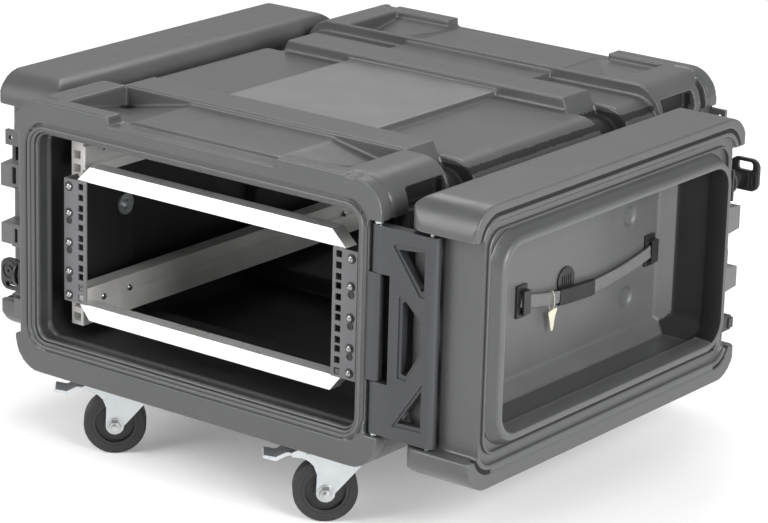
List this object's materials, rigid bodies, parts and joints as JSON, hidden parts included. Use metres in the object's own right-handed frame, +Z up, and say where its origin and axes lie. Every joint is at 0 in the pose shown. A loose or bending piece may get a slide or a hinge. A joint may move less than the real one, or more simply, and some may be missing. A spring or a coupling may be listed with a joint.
{
  "type": "rack case",
  "caption": "Rounded plastic rack case with hinged doors front and rear, a shock-mounted rack frame, twist latches and swivel casters.",
  "frame": {"origin": "on the floor, under the middle of the case body", "axes": "+X to the right seen from the front, +Y from the front opening to the rear opening, +Z up"},
  "size_m": [0.9475, 0.8272, 0.52],
  "materials": {
    "shell": "satin moulded",
    "metal_dark": "satin black powder coat",
    "zinc": "zinc plated",
    "rubber": "matte",
    "aluminium": "extruded",
    "rail": "dark grey",
    "webbing": "woven",
    "tag": "card",
    "hub": "moulded",
    "tread": "matte",
    "latch_plastic": "moulded"
  },
  "bodies": {
    "case": {"case_shell": "shell", "case_knuckle_front": "metal_dark", "case_knuckle_rear": "metal_dark", "hinge_pin_case_front": "zinc", "hinge_pin_case_rear": "zinc", "latch_bases_case": "metal_dark", "keepers_case": "shell", "shock_mounts": "rubber", "shock_mount_bolts": "zinc", "caster_plates": "zinc", "caster_kingpins": "zinc", "caster_bolts": "zinc"},
    "rack_frame": {"rack_rails_front": "rail", "rack_rails_rear": "rail", "side_beams_left": "aluminium", "side_beams_right": "aluminium", "cross_bars_front": "aluminium", "cross_bars_rear": "aluminium", "frame_screws": "zinc"},
    "front_arm": {"gate_arm_front": "metal_dark"},
    "rear_arm": {"gate_arm_rear": "metal_dark"},
    "front_door": {"door_shell_front": "shell", "gasket_front": "rubber", "hinge_pin_door_front": "zinc", "latch_base_door_front": "metal_dark", "keeper_door_front": "metal_dark", "vent_front": "latch_plastic", "strap_brackets": "metal_dark", "strap_webbing": "webbing", "strap_sleeve": "latch_plastic", "hang_tag": "tag"},
    "rear_door": {"door_shell_rear": "shell", "gasket_rear": "rubber", "hinge_pin_door_rear": "zinc", "latch_base_door_rear": "metal_dark", "keeper_door_rear": "metal_dark", "vent_rear": "latch_plastic"},
    "case_latch_front": {"twist_latch_case_front": "zinc"},
    "case_latch_rear": {"twist_latch_case_rear": "zinc"},
    "door_latch_front": {"twist_latch_door_front": "zinc"},
    "door_latch_rear": {"twist_latch_door_rear": "zinc"},
    "caster_front_left": {"fork_front_left": "zinc", "axle_front_left": "zinc"},
    "wheel_front_left": {"wheel_hub_front_left": "hub", "tread_front_left": "tread"},
    "pedal_left": {"brake_pedal_left": "latch_plastic"},
    "caster_front_right": {"fork_front_right": "zinc", "axle_front_right": "zinc"},
    "wheel_front_right": {"wheel_hub_front_right": "hub", "tread_front_right": "tread"},
    "pedal_right": {"brake_pedal_right": "latch_plastic"},
    "caster_rear_left": {"fork_rear_left": "zinc", "axle_rear_left": "zinc"},
    "wheel_rear_left": {"wheel_hub_rear_left": "hub", "tread_rear_left": "tread"},
    "caster_rear_right": {"fork_rear_right": "zinc", "axle_rear_right": "zinc"},
    "wheel_rear_right": {"wheel_hub_rear_right": "hub", "tread_rear_right": "tread"}
  },
  "joints": [
    {"name": "front_arm_hinge", "type": "hinge", "parent": "case", "child": "front_arm", "pos_m": [0.317, -0.397, 0.32], "axis": [0, 0, 1], "range_deg": [-90, 0]},
    {"name": "front_door_hinge", "type": "hinge", "parent": "front_arm", "child": "front_door", "pos_m": [0.404, -0.397, 0.32], "axis": [0, 0, 1], "range_deg": [-180, 0]},
    {"name": "rear_arm_hinge", "type": "hinge", "parent": "case", "child": "rear_arm", "pos_m": [-0.317, 0.397, 0.32], "axis": [0, 0, 1], "range_deg": [-135, 0]},
    {"name": "rear_door_hinge", "type": "hinge", "parent": "rear_arm", "child": "rear_door", "pos_m": [-0.37852, 0.33548, 0.32], "axis": [0, 0, 1], "range_deg": [-135, 0]},
    {"name": "shock_mount_travel", "type": "slide", "parent": "case", "child": "rack_frame", "axis": [0, 0, 1], "range_m": [-0.004, 0.004], "stiffness_N_per_m": 40000},
    {"name": "case_latch_front_turn", "type": "hinge", "parent": "case", "child": "case_latch_front", "pos_m": [-0.319, -0.384, 0.25], "axis": [-1, 0, 0], "range_deg": [0, 180]},
    {"name": "case_latch_rear_turn", "type": "hinge", "parent": "case", "child": "case_latch_rear", "pos_m": [0.319, 0.384, 0.25], "axis": [1, 0, 0], "range_deg": [0, 180]},
    {"name": "door_latch_front_turn", "type": "hinge", "parent": "front_door", "child": "door_latch_front", "pos_m": [0.454, 0.221, 0.41], "axis": [0, 1, 0], "range_deg": [0, 180]},
    {"name": "door_latch_rear_turn", "type": "hinge", "parent": "rear_door", "child": "door_latch_rear", "pos_m": [-0.40852, -0.28252, 0.41], "axis": [0, -1, 0], "range_deg": [0, 180]},
    {"name": "front_left_swivel", "type": "hinge", "parent": "case", "child": "caster_front_left", "pos_m": [-0.17, -0.318, 0.105], "axis": [0, 0, 1], "continuous": true},
    {"name": "front_left_roll", "type": "hinge", "parent": "caster_front_left", "child": "wheel_front_left", "pos_m": [-0.19566, -0.34031, 0.045], "axis": [0.6561, -0.7547, 0], "continuous": true},
    {"name": "brake_left", "type": "hinge", "parent": "caster_front_left", "child": "pedal_left", "pos_m": [-0.21453, -0.35671, 0.101], "axis": [0.6561, -0.7547, 0], "range_deg": [0, 15]},
    {"name": "front_right_swivel", "type": "hinge", "parent": "case", "child": "caster_front_right", "pos_m": [0.222, -0.324, 0.105], "axis": [0, 0, 1], "continuous": true},
    {"name": "front_right_roll", "type": "hinge", "parent": "caster_front_right", "child": "wheel_front_right", "pos_m": [0.19634, -0.34631, 0.045], "axis": [0.6561, -0.7547, 0], "continuous": true},
    {"name": "brake_right", "type": "hinge", "parent": "caster_front_right", "child": "pedal_right", "pos_m": [0.17747, -0.36271, 0.101], "axis": [0.6561, -0.7547, 0], "range_deg": [0, 15]},
    {"name": "rear_left_swivel", "type": "hinge", "parent": "case", "child": "caster_rear_left", "pos_m": [-0.196, 0.318, 0.105], "axis": [0, 0, 1], "continuous": true},
    {"name": "rear_left_roll", "type": "hinge", "parent": "caster_rear_left", "child": "wheel_rear_left", "pos_m": [-0.2231, 0.29747, 0.045], "axis": [0.6039, -0.7971, 0], "continuous": true},
    {"name": "rear_right_swivel", "type": "hinge", "parent": "case", "child": "caster_rear_right", "pos_m": [0.196, 0.318, 0.105], "axis": [0, 0, 1], "continuous": true},
    {"name": "rear_right_roll", "type": "hinge", "parent": "caster_rear_right", "child": "wheel_rear_right", "pos_m": [0.1689, 0.29747, 0.045], "axis": [0.6039, -0.7971, 0], "continuous": true}
  ],
  "couplings": [
    {"joint": "front_door_hinge", "follows": "front_arm_hinge", "ratio": 2},
    {"joint": "rear_door_hinge", "follows": "rear_arm_hinge", "ratio": 1}
  ]
}
